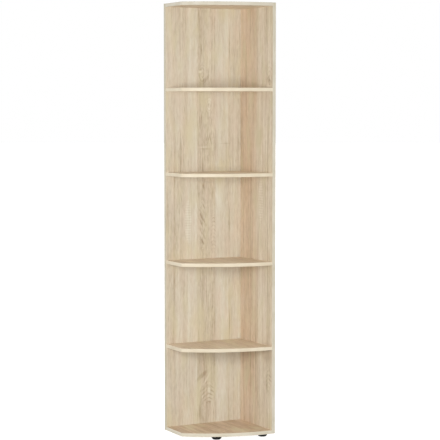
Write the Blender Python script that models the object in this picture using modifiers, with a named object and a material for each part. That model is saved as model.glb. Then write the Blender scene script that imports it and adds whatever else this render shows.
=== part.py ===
"""Shelf end unit: an open corner bookcase of laminated board on four plastic feet.

While modelling, X runs along the back panel from its free left end to the side panel, Y runs from the
back panel's front face to the rear, and Z runs up from the underside of the boards. The empty
unit_origin then stands the unit on the floor, with the middle of its footprint at the world's origin.
"""

import math

import bmesh
import bpy
from mathutils import Matrix

# Boards
BOARD = 0.016
BODY_HEIGHT = 1.999
INNER_WIDTH = 0.400
SIDE_DEPTH = 0.320
LEFT_DEPTH = 0.162
CORNER_RADIUS = 0.015

# Clear heights of the compartments, from the floor up, as shares of what the level boards leave free
OPENING_SHARES = (0.1986, 0.1992, 0.2081, 0.1976, 0.1965)

# Edge bands
FRONT_BAND = 0.002
TOP_BAND = 0.001

# Gap between two pieces that touch
FIT = 0.0003

# Screws that hold the boards together
SCREW_LENGTH = 0.050
SCREW_RADIUS = 0.0035
SCREW_TIP_LENGTH = 0.004
SCREW_TIP_RADIUS = 0.0020
HEAD_RADIUS = 0.0050
HEAD_RIM = 0.0008
SOCKET_WIDTH = 0.0040
SOCKET_DEPTH = 0.0032
BORE_SPARE_DEPTH = 0.001

# Plastic feet
FOOT_HEIGHT = 0.017
FOOT_RADIUS = 0.0240
FOOT_TAPER = 0.0055
FOOT_RIM = 0.0085
FOOT_EDGE = 0.0015
FOOT_WALL = 0.0025
FOOT_FLOOR = 0.003
BOSS_WALL = 0.0022
RECESS_DEPTH = 0.006

# Screws that hold the feet
FOOT_SCREW_RADIUS = 0.0020
FOOT_SCREW_HEAD_RADIUS = 0.0038
FOOT_SCREW_HEAD_HEIGHT = 0.0024
FOOT_SCREW_TIP = 0.003
FOOT_SCREW_COVER = 0.005

# Places of the feet, and how far the board screws stay from the foot screws
FRONT_LEFT_FOOT_X = 0.154
FRONT_LEFT_FOOT_SETBACK = 0.039
RIGHT_FOOT_SETBACK = 0.0245
FRONT_RIGHT_FOOT_SETBACK = 0.0485
REAR_LEFT_FOOT_X = 0.065
REAR_FOOT_SETBACK = 0.035
SCREW_OFFSET = 0.045

# Fineness of the round shapes
ARC_SEGMENTS = 16
CORNER_SEGMENTS = 4
SCREW_SIDES = 10
SOCKET_SIDES = 6
FOOT_SIDES = 20
FULL_TURN = 2 * math.pi
MERGE_DISTANCE = 0.00001
SHARP_ANGLE = math.radians(35)

# Sizes that follow from the ones above
CLEAR_HEIGHT = BODY_HEIGHT - (len(OPENING_SHARES) + 1) * BOARD
OPENINGS = [CLEAR_HEIGHT * share / sum(OPENING_SHARES) for share in OPENING_SHARES]
FRONT_Y = BOARD - SIDE_DEPTH
OUTER_X = INNER_WIDTH + BOARD
SHELF_RIGHT_X = INNER_WIDTH - FIT
SHELF_REAR_Y = -FIT
PANEL_TOP_Z = BODY_HEIGHT - TOP_BAND - FIT
ARC_DROP = -FRONT_Y - LEFT_DEPTH
ARC_RADIUS = (INNER_WIDTH**2 + ARC_DROP**2) / (2 * ARC_DROP)
ARC_CENTRE_Y = FRONT_Y + ARC_RADIUS
FOOT_SCREW_REACH = BOARD - FOOT_SCREW_COVER
RIGHT_FOOT_X = INNER_WIDTH - RIGHT_FOOT_SETBACK

BOARD_NAMES = ("bottom_board", "shelf_1", "shelf_2", "shelf_3", "shelf_4", "top_board")

# Finishes: colour, roughness and metallic value
OAK = ((0.62, 0.50, 0.36, 1.0), 0.45, 0.0)
OAK_EDGE = ((0.78, 0.68, 0.52, 1.0), 0.40, 0.0)
BLACK_PLASTIC = ((0.012, 0.012, 0.012, 1.0), 0.40, 0.0)
ZINC = ((0.62, 0.63, 0.65, 1.0), 0.35, 1.0)

OUT_RIGHT = Matrix.Rotation(FULL_TURN / 4, 4, "Y")
OUT_REAR = Matrix.Rotation(-FULL_TURN / 4, 4, "X")
OUT_DOWN = Matrix.Rotation(FULL_TURN / 2, 4, "X")


def clear_scene():
    """Removes every object of the scene."""
    for obj in list(bpy.data.objects):
        bpy.data.objects.remove(obj, do_unlink=True)


def new_collection(name):
    """A collection under the scene's own."""
    collection = bpy.data.collections.new(name)
    bpy.context.scene.collection.children.link(collection)
    return collection


clear_scene()
UNIT = new_collection("shelf_end_unit")
CUTTERS = new_collection("cutters")
ORIGIN = bpy.data.objects.new("unit_origin", None)
ORIGIN.location = (-OUTER_X / 2, SIDE_DEPTH / 2 - BOARD, FOOT_HEIGHT)
UNIT.objects.link(ORIGIN)


def finish(name, mesh, look):
    """Gives a mesh the one material of its piece."""
    made = bpy.data.materials.new(name + "_finish")
    made.use_nodes = True
    shader = made.node_tree.nodes["Principled BSDF"]
    for socket, value in zip(("Base Color", "Roughness", "Metallic"), look):
        shader.inputs[socket].default_value = value
    mesh.materials.clear()
    mesh.materials.append(made)


def keep(name, mesh, place=(0, 0, 0), turn=Matrix()):
    """Makes the mesh a sub-part of the unit at a place in it."""
    obj = bpy.data.objects.new(name, mesh)
    UNIT.objects.link(obj)
    obj.parent = ORIGIN
    obj.location = place
    obj.rotation_euler = turn.to_euler()
    return obj


def keep_cutter(name, mesh):
    """Makes the mesh a cutter, which is no part of the unit."""
    obj = bpy.data.objects.new(name, mesh)
    CUTTERS.objects.link(obj)
    obj.parent = ORIGIN
    obj.hide_render = True
    obj.display_type = "WIRE"
    return obj


def cut(obj, cutter):
    """Cuts the cutter's bores out of an object."""
    bore = obj.modifiers.new(cutter.name, "BOOLEAN")
    bore.operation = "DIFFERENCE"
    bore.solver = "EXACT"
    bore.object = cutter


def evaluated_mesh(obj):
    """The object's mesh with its modifiers applied. The object itself is removed."""
    graph = bpy.context.evaluated_depsgraph_get()
    mesh = bpy.data.meshes.new_from_object(obj.evaluated_get(graph))
    bpy.data.objects.remove(obj, do_unlink=True)
    shape = bmesh.new()
    shape.from_mesh(mesh)
    bmesh.ops.remove_doubles(shape, verts=shape.verts, dist=MERGE_DISTANCE)
    shape.to_mesh(mesh)
    shape.free()
    return mesh


def box_mesh(low, high):
    """A box between two corners."""
    size = [b - a for a, b in zip(low, high)]
    centre = [(a + b) / 2 for a, b in zip(low, high)]
    shape = bmesh.new()
    bmesh.ops.create_cube(shape, size=1)
    bmesh.ops.scale(shape, vec=size, verts=shape.verts)
    bmesh.ops.translate(shape, vec=centre, verts=shape.verts)
    mesh = bpy.data.meshes.new("box")
    shape.to_mesh(mesh)
    shape.free()
    return mesh


def slab_mesh(outline, thickness):
    """A flat slab of a plan outline, its underside at Z = 0."""
    curve = bpy.data.curves.new("outline", "CURVE")
    curve.dimensions = "2D"
    curve.fill_mode = "BOTH"
    curve.extrude = thickness / 2
    spline = curve.splines.new("POLY")
    spline.points.add(len(outline) - 1)
    for point, (x, y) in zip(spline.points, outline):
        point.co = (x, y, 0, 1)
    spline.use_cyclic_u = True
    obj = bpy.data.objects.new("outline", curve)
    CUTTERS.objects.link(obj)
    mesh = evaluated_mesh(obj)
    mesh.transform(Matrix.Translation((0, 0, thickness / 2)))
    return mesh


def turned_mesh(profile, sides):
    """A body turned about Z from a profile of (radius, height) that runs down its outer side."""
    count = len(profile)
    closed = profile[0][0] > 0 and profile[-1][0] > 0
    edges = [(i, i + 1) for i in range(count - 1)]
    if closed:
        edges.append((count - 1, 0))
    mesh = bpy.data.meshes.new("profile")
    mesh.from_pydata([(radius, 0, height) for radius, height in profile], edges, [])
    obj = bpy.data.objects.new("profile", mesh)
    CUTTERS.objects.link(obj)
    turn = obj.modifiers.new("turn", "SCREW")
    turn.angle = FULL_TURN
    turn.steps = sides
    turn.render_steps = sides
    turn.use_merge_vertices = True
    turn.merge_threshold = MERGE_DISTANCE
    return evaluated_mesh(obj)


def row_mesh(piece, turn, places):
    """Copies of a bore at its places, all turned one way, in one mesh."""
    shape = bmesh.new()
    for place in places:
        before = len(shape.verts)
        shape.from_mesh(piece)
        shape.verts.ensure_lookup_table()
        fresh = shape.verts[before:]
        bmesh.ops.transform(shape, matrix=Matrix.Translation(place) @ turn, verts=fresh)
    mesh = bpy.data.meshes.new("bores")
    shape.to_mesh(mesh)
    shape.free()
    return mesh


def shade(mesh):
    """Smooth shading with sharp edges kept, for round pieces."""
    mesh.shade_smooth()
    mesh.set_sharp_from_angle(angle=SHARP_ANGLE)


def arc_points(centre_x, centre_y, radius, start, end, segments):
    """Points along an arc, both ends included."""
    angles = [start + (end - start) * i / segments for i in range(segments + 1)]
    return [(centre_x + radius * math.cos(a), centre_y + radius * math.sin(a)) for a in angles]


def front_line(inset):
    """The open edge of a board: its left side, the rounded corner and the long front arc.

    It is moved inwards by the inset, and runs from the back panel to the side panel.
    """
    arc_radius = ARC_RADIUS - inset
    corner_reach = ARC_RADIUS - CORNER_RADIUS
    corner_y = ARC_CENTRE_Y - math.sqrt(corner_reach**2 - (INNER_WIDTH - CORNER_RADIUS) ** 2)
    corner_end = math.atan2(corner_y - ARC_CENTRE_Y, CORNER_RADIUS - INNER_WIDTH) + FULL_TURN
    arc_end = FULL_TURN * 3 / 4 - math.asin(FIT / arc_radius)
    corner = arc_points(
        CORNER_RADIUS, corner_y, CORNER_RADIUS - inset, FULL_TURN / 2, corner_end, CORNER_SEGMENTS
    )
    arc = arc_points(INNER_WIDTH, ARC_CENTRE_Y, arc_radius, corner_end, arc_end, ARC_SEGMENTS)
    return [(inset, SHELF_REAR_Y)] + corner + arc[1:]


def front_arc_y(x):
    """Where the front arc lies at a place along the unit."""
    return ARC_CENTRE_Y - math.sqrt(ARC_RADIUS**2 - (INNER_WIDTH - x) ** 2)


def board_levels():
    """Heights of the undersides of the six level boards, from the floor up."""
    levels = [0.0]
    for opening in OPENINGS:
        levels.append(levels[-1] + BOARD + opening)
    return levels


LEVELS = board_levels()
FOOT_PLACES = {
    "front_left": (FRONT_LEFT_FOOT_X, front_arc_y(FRONT_LEFT_FOOT_X) + FRONT_LEFT_FOOT_SETBACK),
    "front_right": (RIGHT_FOOT_X, FRONT_Y + FRONT_RIGHT_FOOT_SETBACK),
    "rear_left": (REAR_LEFT_FOOT_X, -REAR_FOOT_SETBACK),
    "rear_right": (RIGHT_FOOT_X, -REAR_FOOT_SETBACK),
}


def side_screw_places():
    """Head centres of the screws through the side panel into the level boards."""
    rows = {
        "front": FRONT_Y + FRONT_RIGHT_FOOT_SETBACK + SCREW_OFFSET,
        "rear": -REAR_FOOT_SETBACK - SCREW_OFFSET,
    }
    return {
        f"side_screw_{board}_{row}": (OUTER_X, y, level + BOARD / 2)
        for board, level in zip(BOARD_NAMES, LEVELS)
        for row, y in rows.items()
    }


def back_screw_places():
    """Head centres of the screws through the back panel into the level boards."""
    rows = {"left": REAR_LEFT_FOOT_X + SCREW_OFFSET, "right": RIGHT_FOOT_X - SCREW_OFFSET}
    return {
        f"back_screw_{board}_{row}": (x, BOARD, level + BOARD / 2)
        for board, level in zip(BOARD_NAMES, LEVELS)
        for row, x in rows.items()
    }


def corner_screw_places():
    """Head centres of the screws through the side panel into the back panel's edge."""
    return {
        f"corner_screw_{count}": (OUTER_X, BOARD / 2, level + BOARD + opening / 2)
        for count, (level, opening) in enumerate(zip(LEVELS, OPENINGS), start=1)
    }


def screw_profile(grow, top, spare):
    """Outer line of a board screw, grown by a gap for its bore. Its head's face is at height 0."""
    cone_end = -HEAD_RIM - (HEAD_RADIUS - SCREW_RADIUS)
    end = -SCREW_LENGTH - spare
    return [
        (0, top),
        (HEAD_RADIUS + grow, top),
        (HEAD_RADIUS + grow, -HEAD_RIM),
        (SCREW_RADIUS + grow, cone_end),
        (SCREW_RADIUS + grow, end + SCREW_TIP_LENGTH),
        (SCREW_TIP_RADIUS + grow, end),
        (0, end),
    ]


def board_screw_mesh():
    """A countersunk board screw with a hexagon socket, pointing down from its head."""
    screw = bpy.data.objects.new("screw", turned_mesh(screw_profile(0, 0, 0), SCREW_SIDES))
    CUTTERS.objects.link(screw)
    shape = bmesh.new()
    corner = SOCKET_WIDTH / 2 / math.cos(FULL_TURN / 2 / SOCKET_SIDES)
    bmesh.ops.create_cone(
        shape,
        cap_ends=True,
        segments=SOCKET_SIDES,
        radius1=corner,
        radius2=corner,
        depth=2 * SOCKET_DEPTH,
    )
    mesh = bpy.data.meshes.new("socket")
    shape.to_mesh(mesh)
    shape.free()
    socket = bpy.data.objects.new("socket", mesh)
    CUTTERS.objects.link(socket)
    cut(screw, socket)
    made = evaluated_mesh(screw)
    bpy.data.objects.remove(socket, do_unlink=True)
    return made


def foot_mesh():
    """A hollow moulded foot, flared up to its rim, with a boss for its screw.

    The board's underside is at height 0.
    """
    hole = FOOT_SCREW_RADIUS + FIT
    recess = FOOT_SCREW_HEAD_RADIUS + FIT
    boss = recess + BOSS_WALL
    floor_radius = FOOT_RADIUS - FOOT_TAPER
    profile = [
        (FOOT_RADIUS, -FIT),
        (FOOT_RADIUS, -FOOT_RIM),
        (floor_radius, FOOT_EDGE - FOOT_HEIGHT),
        (floor_radius - FOOT_EDGE, -FOOT_HEIGHT),
        (recess, -FOOT_HEIGHT),
        (recess, RECESS_DEPTH - FOOT_HEIGHT),
        (hole, RECESS_DEPTH - FOOT_HEIGHT),
        (hole, -FIT),
        (boss, -FIT),
        (boss, FOOT_FLOOR - FOOT_HEIGHT),
        (floor_radius - FOOT_WALL, FOOT_FLOOR - FOOT_HEIGHT),
        (FOOT_RADIUS - FOOT_WALL, -FOOT_RIM),
        (FOOT_RADIUS - FOOT_WALL, -FIT),
    ]
    return turned_mesh(profile, FOOT_SIDES)


def foot_screw_head():
    """Outer line of a foot screw's pan head, which seats at height 0."""
    return [
        (0, FOOT_SCREW_HEAD_HEIGHT),
        (FOOT_SCREW_HEAD_RADIUS / 2, FOOT_SCREW_HEAD_HEIGHT),
        (FOOT_SCREW_HEAD_RADIUS, FOOT_SCREW_HEAD_HEIGHT / 2),
        (FOOT_SCREW_HEAD_RADIUS, 0),
    ]


def foot_screw_shank(grow, spare):
    """Outer line of a foot screw below its head, grown by a gap for its bore."""
    end = -(FOOT_HEIGHT - RECESS_DEPTH) - FOOT_SCREW_REACH - spare
    return [
        (FOOT_SCREW_RADIUS + grow, 0),
        (FOOT_SCREW_RADIUS + grow, end + FOOT_SCREW_TIP),
        (0, end),
    ]


def make_screws():
    """Every screw of the unit. Returns a cutter for the bores of each row of them."""
    screw = board_screw_mesh()
    foot_screw = turned_mesh(foot_screw_head() + foot_screw_shank(0, 0), SCREW_SIDES)
    bore = turned_mesh(screw_profile(FIT, HEAD_RADIUS, BORE_SPARE_DEPTH), SCREW_SIDES)
    foot_bore = turned_mesh([(0, 0)] + foot_screw_shank(FIT, BORE_SPARE_DEPTH), SCREW_SIDES)
    for name, mesh in {"board_screw": screw, "foot_screw": foot_screw}.items():
        shade(mesh)
        finish(name, mesh, ZINC)

    seat_z = RECESS_DEPTH - FOOT_HEIGHT - FIT
    foot_places = {f"foot_screw_{corner}": (x, y, seat_z) for corner, (x, y) in FOOT_PLACES.items()}
    rows = {
        "side": (screw, bore, OUT_RIGHT, side_screw_places()),
        "back": (screw, bore, OUT_REAR, back_screw_places()),
        "corner": (screw, bore, OUT_RIGHT, corner_screw_places()),
        "foot": (foot_screw, foot_bore, OUT_DOWN, foot_places),
    }
    cutters = {}
    for row, (piece, hole, turn, places) in rows.items():
        for name, place in places.items():
            keep(name, piece, place, turn)
        cutters[row] = keep_cutter(row + "_bores", row_mesh(hole, turn, places.values()))
    return cutters


def make_panels(bores):
    """The two full-height panels with their edge bands."""
    inside = FRONT_BAND + FIT
    side_mesh = box_mesh((INNER_WIDTH, FRONT_Y + inside, 0), (OUTER_X, BOARD, PANEL_TOP_Z))
    back_mesh = box_mesh((inside, 0, 0), (SHELF_RIGHT_X, BOARD, PANEL_TOP_Z))
    panels = {"side_panel": (side_mesh, "side"), "back_panel": (back_mesh, "back")}
    for name, (mesh, row) in panels.items():
        finish(name, mesh, OAK)
        panel = keep(name, mesh)
        cut(panel, bores[row])
        cut(panel, bores["corner"])

    top = BODY_HEIGHT - TOP_BAND
    bands = {
        "side_panel_front_band": ((INNER_WIDTH, FRONT_Y, 0), (OUTER_X, FRONT_Y + FRONT_BAND, BODY_HEIGHT)),
        "side_panel_top_band": ((INNER_WIDTH, FRONT_Y + inside, top), (OUTER_X, BOARD, BODY_HEIGHT)),
        "back_panel_left_band": ((0, 0, 0), (FRONT_BAND, BOARD, BODY_HEIGHT)),
        "back_panel_top_band": ((inside, 0, top), (SHELF_RIGHT_X, BOARD, BODY_HEIGHT)),
    }
    for name, (low, high) in bands.items():
        mesh = box_mesh(low, high)
        finish(name, mesh, OAK_EDGE)
        keep(name, mesh)


def make_level_boards(bores):
    """The bottom board, the four shelves and the top board, each with the band round its open edge."""
    board_outline = front_line(FRONT_BAND + FIT) + [(SHELF_RIGHT_X, SHELF_REAR_Y)]
    band_outline = front_line(0) + front_line(FRONT_BAND)[::-1]
    for name, level in zip(BOARD_NAMES, LEVELS):
        mesh = slab_mesh(board_outline, BOARD)
        finish(name, mesh, OAK)
        board = keep(name, mesh, (0, 0, level))
        cut(board, bores["side"])
        cut(board, bores["back"])
        if name == "bottom_board":
            cut(board, bores["foot"])
        band = slab_mesh(band_outline, BOARD)
        finish(name + "_edge_band", band, OAK_EDGE)
        keep(name + "_edge_band", band, (0, 0, level))


def make_feet():
    """Four round moulded feet under the bottom board."""
    mesh = foot_mesh()
    shade(mesh)
    finish("foot", mesh, BLACK_PLASTIC)
    for corner, (x, y) in FOOT_PLACES.items():
        keep(f"foot_{corner}", mesh, (x, y, 0))


BORES = make_screws()
make_panels(BORES)
make_level_boards(BORES)
make_feet()
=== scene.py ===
import math

import bmesh
import bpy
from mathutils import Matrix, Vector


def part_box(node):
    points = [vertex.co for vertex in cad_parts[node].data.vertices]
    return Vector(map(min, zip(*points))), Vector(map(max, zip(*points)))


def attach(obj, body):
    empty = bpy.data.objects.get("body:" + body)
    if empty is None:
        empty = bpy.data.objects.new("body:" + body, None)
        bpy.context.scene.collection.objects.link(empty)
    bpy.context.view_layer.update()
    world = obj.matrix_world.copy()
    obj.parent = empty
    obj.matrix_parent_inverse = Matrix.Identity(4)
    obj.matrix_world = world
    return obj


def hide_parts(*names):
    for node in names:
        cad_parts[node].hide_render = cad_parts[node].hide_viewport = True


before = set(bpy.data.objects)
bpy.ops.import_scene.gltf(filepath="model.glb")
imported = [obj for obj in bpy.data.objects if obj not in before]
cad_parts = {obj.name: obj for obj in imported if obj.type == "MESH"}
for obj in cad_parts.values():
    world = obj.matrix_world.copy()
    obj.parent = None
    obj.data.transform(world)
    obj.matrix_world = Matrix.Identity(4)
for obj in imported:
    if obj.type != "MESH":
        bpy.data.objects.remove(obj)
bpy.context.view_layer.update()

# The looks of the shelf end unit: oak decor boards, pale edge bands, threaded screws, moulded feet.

LEVELS = ("bottom_board", "shelf_1", "shelf_2", "shelf_3", "shelf_4", "top_board")
CORNERS = ("front_left", "front_right", "rear_left", "rear_right")

# Places read from the frame, in metres
SIDE_LOW, SIDE_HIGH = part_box("side_panel")
BACK_LOW, BACK_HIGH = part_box("back_panel")
BASE_LOW, BASE_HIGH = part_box("bottom_board")
LEFT_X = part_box("back_panel_left_band")[0].x
FRONT_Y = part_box("side_panel_front_band")[0].y
TOP_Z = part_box("top_board")[1].z
BASE_Z = BASE_LOW.z
BOARD = BASE_HIGH.z - BASE_LOW.z
INNER_X = SIDE_LOW.x
OUTER_X = SIDE_HIGH.x
BACK_Y = BACK_LOW.y
REAR_Y = BACK_HIGH.y

# Sizes of the maker's own, in metres. JOINT is the gap left between pieces, ARRIS the width of a broken edge
# and TOUCH how near two places lie that count as one.
LEFT_DEPTH = 0.162
CORNER_RADIUS = 0.015
FRONT_BAND = 0.002
TOP_BAND = 0.001
BAND_ROUNDING = 0.0012
TOP_BAND_ROUNDING = 0.0006
JOINT = 0.00006
ARRIS = 0.00015
TOUCH = 0.00001
BAND_INSET = FRONT_BAND + JOINT

# The long front arc and the small left corner of a level board, seen from above
WIDTH = INNER_X - LEFT_X
ARC_DROP = BACK_Y - LEFT_DEPTH - FRONT_Y
ARC_RADIUS = (WIDTH**2 + ARC_DROP**2) / (2 * ARC_DROP)
ARC_CENTRE = Vector((INNER_X, FRONT_Y + ARC_RADIUS, 0))
CORNER_X = LEFT_X + CORNER_RADIUS
CORNER_REACH = math.sqrt((ARC_RADIUS - CORNER_RADIUS) ** 2 - (INNER_X - CORNER_X) ** 2)
CORNER_CENTRE = Vector((CORNER_X, ARC_CENTRE.y - CORNER_REACH, 0))
ARC_TURN = math.asin((INNER_X - CORNER_X) / (ARC_RADIUS - CORNER_RADIUS))
CORNER_TURN = math.pi / 2 - ARC_TURN
ARC_STEPS = 40
CORNER_STEPS = 8
ROUNDING_STEPS = 4
FINE_ROUNDING_STEPS = 2

# Screws
SCREW_LENGTH = 0.050
SHANK_RADIUS = 0.0034
HEAD_RADIUS = 0.0050
HEAD_RIM = 0.0008
HEAD_ROUNDING = 0.0003
NECK_LENGTH = 0.006
NECK_ROUNDING = 0.0006
THREAD_CORE = 0.0023
THREAD_DEPTH = 0.0011
THREAD_PITCH = 0.0030
THREAD_STEPS = 8
THREAD_SIDES = 12
TIP_LENGTH = 0.003
TIP_STEPS = 3
SCREW_TIP_WIDTH = 0.75
SOCKET_RADIUS = 0.0023
SOCKET_DEPTH = 0.0032
SOCKET_SIDES = 6
BORE_RADIUS = 0.0037
BORE_SPARE = 0.001
CORNER_SCREWS = 5
TO_SIDE = (0, math.pi / 2, 0)
TO_REAR = (-math.pi / 2, 0, 0)

# Feet
FOOT_TOP_RADIUS = 0.0240
FOOT_FLOOR_RADIUS = 0.0173
FOOT_RIM = 0.0085
FOOT_ROUNDING = 0.0018
FOOT_ROUNDING_STEPS = 5
RIM_ROUNDING = 0.0020
FOOT_WALL = 0.0025
FOOT_FLOOR = 0.003
RECESS_RADIUS = 0.0041
RECESS_DEPTH = 0.006
RECESS_ROUNDING = 0.0004
BOSS_WALL = 0.0022
FOOT_HOLE = 0.0023
FOOT_HOLE_DEPTH = 0.012
FOOT_SIDES = 48
FOOT_RIBS = 8
RIB_INSET = 0.0003
RIB_HEIGHT = 0.006
FOOT_SCREW_HEAD = 0.0038
FOOT_SCREW_HEAD_HEIGHT = 0.0024
FOOT_SCREW_HEAD_ROUNDING = 0.0015
FOOT_SCREW_CORE = 0.0014
FOOT_SCREW_THREAD = 0.0006
FOOT_SCREW_PITCH = 0.0018
FOOT_SCREW_OVERLAP = 0.0004
FOOT_SCREW_TIP_WIDTH = 0.3
CROSS_WIDTH = 0.0009
CROSS_REACH = 0.0021
CROSS_DEPTH = 0.0014

# How round parts are cut into flat sides and shaded, with angles in degrees
ROUND_SIDES = 32
RING_SPARE = 0.05
SHADE_ANGLE = 35
SCREW_SHADE_ANGLE = 40

# The photograph's camera, in millimetres, metres and degrees
LENS = 129.46
SENSOR = 36.0
CAMERA_PLACE = (-3.4775, -6.4711, 1.5364)
CAMERA_TILT = 85.93
CAMERA_TURN = -28.27

# Studio: a floor, a soft box, and fill lights with their place, strength and whether they cast shadows
FLOOR_RADIUS = 60
FLOOR_SIDES = 96
PAPER_GLOW = 0.80
ROOM_LIGHT = 0.46
ROOM_SEEN = 1.0
SOFT_BOX_PLACE = (-2.56, -3.34, 1.38)
SOFT_BOX_AIM = (0, 0, 0.5)
SOFT_BOX_SIZE = 1.1
SOFT_BOX_POWER = 122
FILL_ANGLE = 40
FILL_LIGHTS = (
    ("rear_fill", (2.0, 3.4, 1.4), 1.1, True),
    ("left_fill", (-3.0, 2.6, 1.0), 0.8, True),
    ("right_fill", (3.0, -3.2, 1.2), 0.5, False),
    ("ceiling_fill", (0, 0, 3), 0.72, False),
    ("floor_fill", (0, 0, -3), 0.87, False),
)
WHITE = (1.0, 1.0, 1.0, 1.0)


def srgb(red, green, blue):
    """A colour given in the 0 to 255 steps of a colour card, as the shader wants it."""
    steps = [step / 255 for step in (red, green, blue)]
    return tuple(s / 12.92 if s <= 0.04045 else ((s + 0.055) / 1.055) ** 2.4 for s in steps) + (1.0,)


# Colours of the decor paper, each oak from its darkest to its lightest, and where those lie on the ramp
PANEL_OAK = (srgb(142, 121, 98), srgb(170, 155, 131), srgb(197, 185, 163), srgb(213, 206, 188))
SIDE_OAK = (srgb(147, 126, 101), srgb(178, 161, 136), srgb(206, 192, 169), srgb(224, 214, 196))
LEVEL_OAK = (srgb(135, 112, 85), srgb(165, 146, 119), srgb(192, 174, 148), srgb(209, 196, 174))
TAN_OAK = (srgb(142, 114, 88), srgb(174, 149, 121), srgb(205, 181, 154), srgb(223, 203, 179))
OAK_STOPS = (0.0, 0.28, 0.55, 0.85)
GREENISH = (0.93, 1.0, 1.08, 1.0)
STRAW = srgb(199, 189, 157)
BLUSH = srgb(203, 184, 167)


class Finish:
    """A surface finish, built up node by node on a Principled shader."""

    def __init__(self, name):
        self.material = bpy.data.materials.new(name)
        self.material.use_nodes = True
        self.tree = self.material.node_tree
        self.shader = self.tree.nodes["Principled BSDF"]
        self.place = self.add("TexCoord").outputs["Object"]

    def add(self, kind, inputs=None, **settings):
        """Adds a node. Each input is a number, a colour or another node's output."""
        made = self.tree.nodes.new("ShaderNode" + kind)
        for setting, value in settings.items():
            setattr(made, setting, value)
        for socket, value in (inputs or {}).items():
            self.feed(made.inputs[socket], value)
        return made

    def feed(self, socket, value):
        if isinstance(value, bpy.types.NodeSocket):
            self.tree.links.new(value, socket)
        else:
            socket.default_value = value

    def surface(self, **inputs):
        """Sets the shader's own sockets, such as Base_Color and Roughness."""
        for socket, value in inputs.items():
            self.feed(self.shader.inputs[socket.replace("_", " ")], value)

    def math(self, operation, first, second=0.0):
        return self.add("Math", {0: first, 1: second}, operation=operation).outputs[0]

    def spread(self, value, low, high, to_low=0.0, to_high=1.0, smooth=False):
        """The value's range from low to high, spread over another range and held inside it."""
        kind = "SMOOTHSTEP" if smooth else "LINEAR"
        sockets = {0: value, 1: low, 2: high, 3: to_low, 4: to_high}
        return self.add("MapRange", sockets, interpolation_type=kind).outputs[0]

    def vector(self, operation, *inputs):
        """A sum on vectors. A dot product and a length give a number, all others a vector."""
        made = self.add("VectorMath", dict(enumerate(inputs)), operation=operation)
        return made.outputs["Value" if operation in ("DOT_PRODUCT", "LENGTH") else "Vector"]

    def stretched(self, place, scale):
        """Coordinates stretched along each axis, so that a pattern is narrow where the scale is large."""
        return self.add("Mapping", {"Vector": place, "Scale": scale}).outputs[0]

    def noise(self, place, scale, detail):
        """A soft random pattern from 0 to 1, with so many spots a metre."""
        return self.add("TexNoise", {"Vector": place, "Scale": scale, "Detail": detail}).outputs[0]

    def cloud(self, place, across, along, deep, detail):
        """A soft random pattern around 0, from about -0.5 to 0.5, with so many spots a metre."""
        where = self.stretched(place, (across, deep, along))
        return self.math("SUBTRACT", self.noise(where, 1.0, detail), 0.5)

    def blend(self, share, first, second, way="MIX"):
        """Two colours mixed by a share."""
        made = self.add("Mix", data_type="RGBA", blend_type=way)
        for socket, value in zip((0, 6, 7), (share, first, second)):
            self.feed(made.inputs[socket], value)
        return made.outputs[2]

    def ramp(self, value, stops, way="LINEAR"):
        """A colour picked along a ramp of (place, colour) stops."""
        made = self.add("ValToRGB", {0: value})
        made.color_ramp.interpolation = way
        marks = made.color_ramp.elements
        for index, (where, colour) in enumerate(stops):
            mark = marks[index] if index < 2 else marks.new(where)
            mark.position = where
            mark.color = colour
        return made.outputs[0]

    def total(self, *parts):
        """Parts added together, each a value with its weight."""
        whole = 0.0
        for value, weight in parts:
            sockets = {0: value, 1: weight, 2: whole}
            whole = self.add("Math", sockets, operation="MULTIPLY_ADD").outputs[0]
        return whole

    def relief(self, height, strength, distance):
        """Fine relief of the surface."""
        sockets = {"Height": height, "Strength": strength, "Distance": distance}
        self.surface(Normal=self.add("Bump", sockets).outputs[0])


# Staves of the printed oak, from the left or front edge: width in millimetres, tone, rosiness, figure
BACK_STAVES = (
    (28, 0.09, 0.15, 0.0),
    (22, -0.10, 0.2, 0.0),
    (64, 0.02, 0.05, 0.1),
    (50, 0.32, -0.1, 0.0),
    (44, -0.14, 0.0, 0.9),
    (54, 0.06, 0.0, 1.0),
    (70, 0.38, -0.3, 0.0),
    (6, -0.10, 0.0, 0.0),
    (18, 0.18, -0.3, 0.0),
    (42, 0.0, -0.3, 0.0),
)
SIDE_STAVES = (
    (40, 0.16, 0.0, 0.5),
    (28, 0.00, 0.0, 0.2),
    (70, 0.26, 0.0, 0.0),
    (16, -0.10, 0.3, 0.0),
    (6, -0.44, 0.6, 0.0),
    (40, 0.12, 0.7, 0.0),
    (16, -0.30, 0.9, 0.0),
    (58, 0.04, 1.0, 0.1),
    (30, 0.10, 0.9, 0.0),
    (16, 0.10, 0.8, 0.0),
)
LEVEL_STAVES = (
    (70, -0.30, 0.5, 0.1),
    (85, -0.10, 0.3, 0.3),
    (60, -0.45, 0.6, 0.0),
    (90, -0.20, 0.4, 0.2),
    (95, -0.40, 0.6, 0.1),
)
# Figures of the oak: place across and along, half width and half length in metres, then growth lines
# per metre that lie across, fall away from the middle, lean down to the right, and lines round the middle
BACK_FIGURES = (
    (0.222, 0.180, 0.052, 0.080, 50.0, 46.0, -8.0, 0.0),
    (0.196, 0.985, 0.026, 0.170, 28.0, 0.0, 48.0, 0.0),
    (0.252, 0.930, 0.020, 0.140, 55.0, 70.0, 0.0, 0.0),
    (0.230, 1.545, 0.036, 0.065, 0.0, 0.0, 0.0, 4.5),
    (0.232, 1.420, 0.034, 0.100, 20.0, 110.0, 0.0, 0.0),
    (0.196, 1.690, 0.032, 0.065, 0.0, 0.0, 30.0, 3.6),
)
SIDE_FIGURES = (
    (0.030, 1.690, 0.030, 0.070, 48.0, 60.0, 0.0, 0.0),
    (0.036, 0.258, 0.034, 0.070, 52.0, 50.0, 12.0, 0.0),
)
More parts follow.
